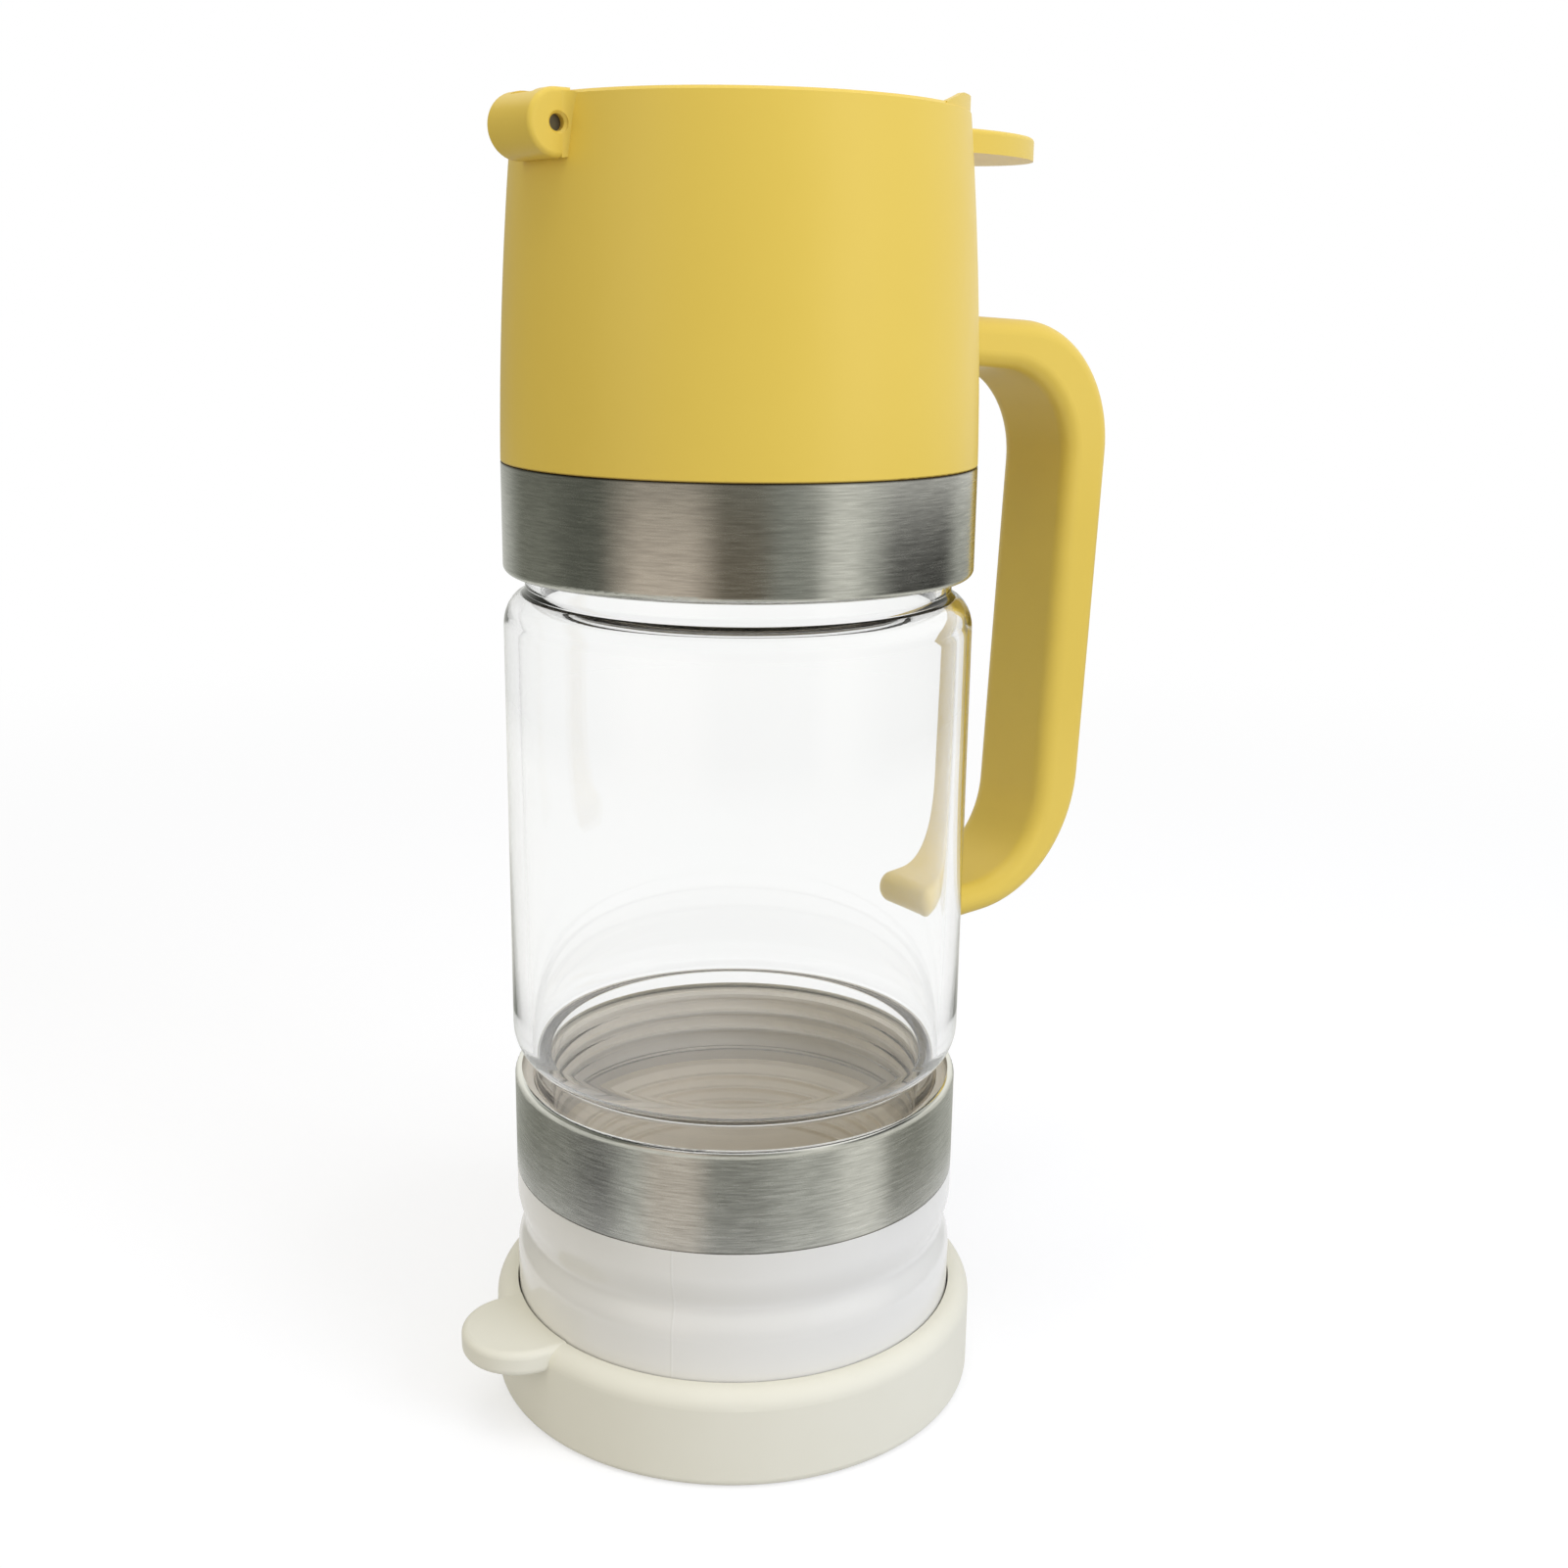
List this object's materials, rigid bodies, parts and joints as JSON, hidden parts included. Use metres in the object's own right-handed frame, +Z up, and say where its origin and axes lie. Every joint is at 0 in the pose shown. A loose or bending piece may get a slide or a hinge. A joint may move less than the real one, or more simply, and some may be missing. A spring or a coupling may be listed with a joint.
{
  "type": "honey dispenser",
  "caption": "Glass honey dispenser with a hinged fill lid, side handle, steel bands, a bottom slit-valve outlet and a pull-off base cap.",
  "frame": {"origin": "centre of the base cap's flat underside, on the jar's axis", "axes": "+Z up along the jar's axis, +X towards the handle and the lid's thumb tab, the lid's hinge on -X"},
  "size_m": [0.1355, 0.0884, 0.226],
  "materials": {
    "cap_silicone": "matte cream silicone",
    "white_gloss": "glossy white plastic",
    "white_inner": "satin white food-grade plastic",
    "clear_silicone": "translucent silicone",
    "band_steel": "stainless steel, brushed around",
    "jar_glass": "clear polished glass",
    "yellow_plastic": "satin yellow plastic",
    "screw_steel": "plain stainless steel"
  },
  "bodies": {
    "base": {"base_cap": "cap_silicone"},
    "outlet_unit": {"outlet_skirt": "white_gloss", "outlet_funnel": "white_inner", "slit_valve": "clear_silicone", "valve_retainer": "white_inner", "lower_collar": "white_inner", "lower_band": "band_steel", "lower_gasket": "clear_silicone"},
    "jar": {"glass_jar": "jar_glass"},
    "head_unit": {"upper_gasket": "clear_silicone", "upper_collar": "white_inner", "upper_band": "band_steel", "head_liner": "white_inner", "head_shell": "yellow_plastic", "handle": "yellow_plastic", "handle_screws": "screw_steel", "hinge_pin": "screw_steel"},
    "lid_unit": {"lid": "yellow_plastic", "lid_liner": "white_inner", "lid_seal": "clear_silicone"}
  },
  "joints": [
    {"name": "base_cap_pull", "type": "slide", "parent": "base", "child": "outlet_unit", "axis": [0, 0, 1], "range_m": [0, 0.03]},
    {"name": "jar_unscrew", "type": "hinge", "parent": "outlet_unit", "child": "jar", "pos_m": [0, 0, 0.05], "axis": [0, 0, 1], "range_deg": [0, 450]},
    {"name": "head_unscrew", "type": "hinge", "parent": "jar", "child": "head_unit", "pos_m": [0, 0, 0.158], "axis": [0, 0, 1], "range_deg": [0, 450]},
    {"name": "lid_hinge", "type": "hinge", "parent": "head_unit", "child": "lid_unit", "pos_m": [-0.0386, 0, 0.219], "axis": [0, -1, 0], "range_deg": [0, 95]}
  ]
}
